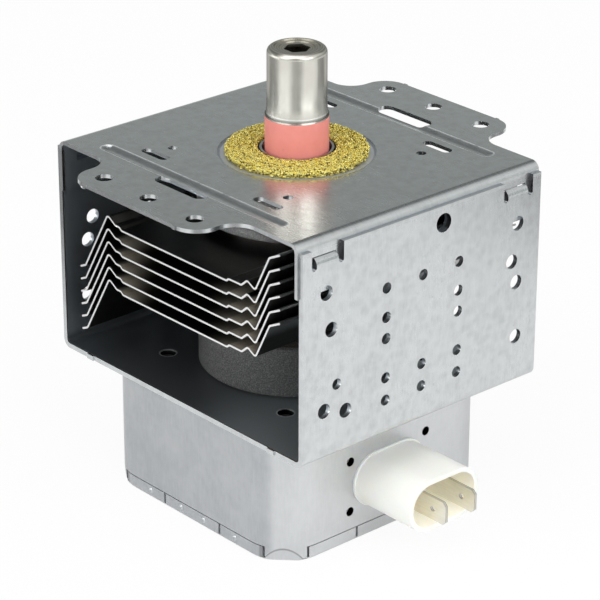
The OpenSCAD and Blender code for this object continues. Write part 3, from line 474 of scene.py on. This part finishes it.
def brown_ceramic(name):
    """Brown fired body of the feed-through capacitor."""
    f = Finish(name)
    mottle = f.noise(400.0, 4.0, 0.6)
    color = f.blend(mottle, (0.20, 0.10, 0.06), (0.34, 0.19, 0.12))
    return f.surface(Base_Color=color, Roughness=0.5 + 0.1 * mottle, Normal=f.bump(mottle, 0.03 * MM, 0.4))


def make_finishes():
    """One finish for each material slot of the record."""
    return {
        "galvanised_steel": yoke_sheet("galvanised_steel"),
        "box_steel": box_sheet("box_steel"),
        "fin_aluminium": fin_sheet("fin_aluminium"),
        "copper": copper("copper", (0.62, 0.32, 0.19), 0.34),
        "ferrite": ferrite("ferrite"),
        "pole_iron": plain_metal("pole_iron", (0.42, 0.42, 0.43), 0.40),
        "shell_steel": plain_metal("shell_steel", (0.52, 0.50, 0.47), 0.30),
        "pink_ceramic": pink_ceramic("pink_ceramic"),
        "nickel_cap": nickel_cap("nickel_cap"),
        "brass_mesh": brass_bed("brass_bed"),
        "tungsten": plain_metal("tungsten", (0.30, 0.30, 0.31), 0.45),
        "tinned_metal": tinned_metal("tinned_metal"),
        "cream_plastic": moulded_plastic("cream_plastic"),
        "capacitor_ceramic": brown_ceramic("capacitor_ceramic"),
        "choke_copper": copper("choke_copper", (0.60, 0.26, 0.12), 0.28),
        "core_ferrite": ferrite("core_ferrite"),
    }


def dress_nodes(frame, finishes):
    """Gives each CAD node the finish of its material slot."""
    for part in frame["record"]["subparts"]:
        mesh = frame["nodes"][part["node"]].data
        mesh.materials.clear()
        mesh.materials.append(finishes[part["material_slot"]])


# Knitted gasket


def choose_only(piece):
    bpy.ops.object.select_all(action="DESELECT")
    piece.select_set(True)
    bpy.context.view_layer.objects.active = piece


def wire_loop():
    """One oval loop of brass wire, lying flat."""
    bpy.ops.object.select_all(action="DESELECT")
    bpy.ops.mesh.primitive_torus_add(major_segments=LOOP_SIDES, minor_segments=WIRE_SIDES,
                                     major_radius=LOOP_WIDTH, minor_radius=LOOP_WIRE)
    bpy.ops.object.mode_set(mode="EDIT")
    bpy.ops.mesh.select_all(action="SELECT")
    bpy.ops.transform.resize(value=(1.0, LOOP_LENGTH / LOOP_WIDTH, 1.0))
    bpy.ops.object.mode_set(mode="OBJECT")
    return bpy.context.object


def lay_loop(loop, turn, radius, height, lean, chance):
    """A copy of the loop at its place in the ring, slanted by chance."""
    choose_only(loop)
    bpy.ops.object.duplicate()
    copy = bpy.context.object
    copy.location = (radius * math.cos(turn), radius * math.sin(turn), height)
    slant = [math.radians(chance.uniform(-LOOP_TILT, LOOP_TILT)) for _ in "XY"]
    tilt = Matrix.Rotation(turn, 3, "Z") @ Matrix.Rotation(lean + slant[1], 3, "Y")
    tilt = tilt @ Matrix.Rotation(slant[0], 3, "X")
    copy.rotation_euler = (tilt @ Matrix.Rotation(chance.uniform(0.0, math.pi), 3, "Z")).to_euler()
    return copy


def join_pieces(pieces):
    """Joins the pieces into one, with its place in its mesh."""
    choose_only(pieces[0])
    for piece in pieces:
        piece.select_set(True)
    bpy.ops.object.join()
    bpy.ops.object.transform_apply(location=True, rotation=True, scale=True)
    return bpy.context.object


def repeat_round(piece, count):
    """Repeats a piece evenly round the antenna's axis."""
    bpy.ops.object.empty_add(rotation=(0.0, 0.0, 2 * math.pi / count))
    turn = bpy.context.object
    choose_only(piece)
    ring = piece.modifiers.new("ring", "ARRAY")
    ring.count = count
    ring.use_relative_offset = False
    ring.use_object_offset = True
    ring.offset_object = turn
    bpy.ops.object.modifier_apply(modifier=ring.name)
    bpy.data.objects.remove(turn)


def snarl(piece):
    """Pushes the wires about a little each way, so that no two loops lie alike."""
    for letter in "XYZ":
        tangle = bpy.data.textures.new("tangle_" + letter, "CLOUDS")
        tangle.noise_scale = SNARL_SIZE
        tangle.noise_depth = 1
        push = piece.modifiers.new("push_" + letter, "DISPLACE")
        push.texture = tangle
        push.texture_coords = "LOCAL"
        push.direction = letter
        push.strength = SNARL if letter != "Z" else SNARL_LIFT * SNARL
        push.mid_level = 0.5
        bpy.ops.object.modifier_apply(modifier=push.name)


def knit_gasket():
    """Knitted brass wire over the gasket's bed: one sector of loops on each wrap, repeated round the axis."""
    low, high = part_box("gasket")
    rim = high.x - GASKET_EASE
    wrap = (rim - GASKET_BORE) / WRAP_COUNT
    crown = WRAP_CROWN * wrap
    sector = 2 * math.pi / SECTOR_COUNT
    chance = random.Random(CHANCE_SEED)
    loop = wire_loop()
    loops = []
    for number in range(WRAP_COUNT):
        middle = GASKET_BORE + wrap * (number + 0.5)
        count = round(sector * middle * 2 * math.radians(CROWN_LEAN) * crown / LOOP_AREA)
        for step in range(count):
            lean = math.radians(chance.uniform(-CROWN_LEAN, CROWN_LEAN))
            radius = middle + crown * math.sin(lean)
            height = high.z - crown + crown * math.cos(lean)
            loops.append(lay_loop(loop, sector * step / count, radius, height, lean, chance))
    for step in range(RIM_LOOPS):
        height = chance.uniform(low.z + RIM_FOOT, high.z - RIM_HEAD)
        loops.append(lay_loop(loop, sector * step / RIM_LOOPS, rim, height, math.pi / 2, chance))
    bpy.data.objects.remove(loop)
    knit = join_pieces(loops)
    knit.name = "gasket_knit"
    repeat_round(knit, SECTOR_COUNT)
    snarl(knit)
    bpy.ops.object.shade_smooth()
    knit.data.materials.append(brass_wire("knit_brass"))
    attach(knit, "root")


# Studio


def white_floor(height):
    """A white floor that keeps a soft shadow, with grey patches round the part for the cap to mirror."""
    bpy.ops.object.select_all(action="DESELECT")
    bpy.ops.mesh.primitive_plane_add(size=FLOOR_SIZE, location=(0.0, 0.0, height))
    floor = bpy.context.object
    floor.name = "floor"
    f = Finish("floor_white")
    x, y = (f.axis(f.place, letter) for letter in "XY")
    sa, ca = math.sin(VIEW_AZIMUTH), math.cos(VIEW_AZIMUTH)
    toward = x * sa - y * ca
    across = x * ca + y * sa
    patch = 0.0
    for before, right, inner, outer in GREY_PATCHES:
        patch = patch + f.below(f.reach(toward - before, across - right), inner, outer)
    color = f.blend(patch, (0.88, 0.88, 0.88), (0.25, 0.25, 0.25))
    paint = f.node("ShaderNodeBsdfDiffuse", sockets={"Color": color})
    glow = f.node("ShaderNodeEmission", sockets={"Color": (1.0, 1.0, 1.0, 1.0), "Strength": 1.0})
    seen = f.node("ShaderNodeLightPath", out="Is Camera Ray")
    mirrored = f.node("ShaderNodeLightPath", out="Is Glossy Ray")
    through = f.node("ShaderNodeLightPath", out="Is Transmission Ray")
    share = seen * FLOOR_WHITE + (mirrored + through) * MIRROR_WHITE * (1.0 - patch)
    sockets = {"Fac": share, "Shader": paint, "Shader_001": glow}
    f.node_end(f.node("ShaderNodeMixShader", sockets=sockets))
    floor.data.materials.append(f.material)


def studio_world():
    """Grey room, brightest low at the walls and darkest overhead."""
    f = Finish("studio", "worlds", "ShaderNodeOutputWorld")
    up = f.axis(f.node("ShaderNodeTexCoord", out="Generated"), "Z")
    level = 0.15 + 0.04 * f.below(up, 0.42, 0.72) + 0.32 * f.below(up, 0.25, 0.52)
    f.node_end(f.node("ShaderNodeBackground", sockets={"Color": (0.94, 1.0, 0.975, 1.0), "Strength": level}))
    bpy.context.scene.world = f.material


def softbox(name, place, target, size, power, spread):
    """A rectangular lamp that faces its target."""
    lamp = bpy.data.lights.new(name, "AREA")
    lamp.shape = "RECTANGLE"
    lamp.size, lamp.size_y = size
    lamp.energy = power
    lamp.spread = spread
    holder = bpy.data.objects.new(name, lamp)
    bpy.context.scene.collection.objects.link(holder)
    holder.location = place
    holder.rotation_euler = (Vector(target) - Vector(place)).to_track_quat("-Z", "Y").to_euler()


def photo_camera():
    """The photograph's camera: its axes come from the viewing angles and its place from the fitted offset."""
    sa, ca = math.sin(VIEW_AZIMUTH), math.cos(VIEW_AZIMUTH)
    se, ce = math.sin(VIEW_ELEVATION), math.cos(VIEW_ELEVATION)
    right = Vector((ca, sa, 0.0))
    back = Vector((sa * ce, -ca * ce, se))
    axes = Matrix((right, back.cross(right), back)).transposed() @ Matrix.Rotation(VIEW_ROLL, 3, "Z")
    lens = bpy.data.cameras.new("photo_camera")
    lens.sensor_width = SENSOR_MM
    lens.lens = LENS_MM
    camera = bpy.data.objects.new("photo_camera", lens)
    bpy.context.scene.collection.objects.link(camera)
    camera.matrix_world = Matrix.Translation(axes @ VIEW_OFFSET) @ axes.to_4x4()
    bpy.context.scene.camera = camera


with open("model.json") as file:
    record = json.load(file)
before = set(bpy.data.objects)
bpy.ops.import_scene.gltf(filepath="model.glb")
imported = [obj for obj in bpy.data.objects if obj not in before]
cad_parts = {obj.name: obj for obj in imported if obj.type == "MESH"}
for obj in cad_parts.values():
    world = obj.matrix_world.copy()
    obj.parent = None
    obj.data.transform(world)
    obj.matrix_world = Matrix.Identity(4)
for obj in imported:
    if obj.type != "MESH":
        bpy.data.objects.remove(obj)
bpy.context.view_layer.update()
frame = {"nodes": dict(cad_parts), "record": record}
bpy.context.scene.view_settings.view_transform = "Standard"
photo_camera()
studio_world()
white_floor(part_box("filter_box_cover")[0].z - FLOOR_GAP)
for lamp in LAMPS:
    softbox(*lamp)
dress_nodes(frame, make_finishes())
knit_gasket()
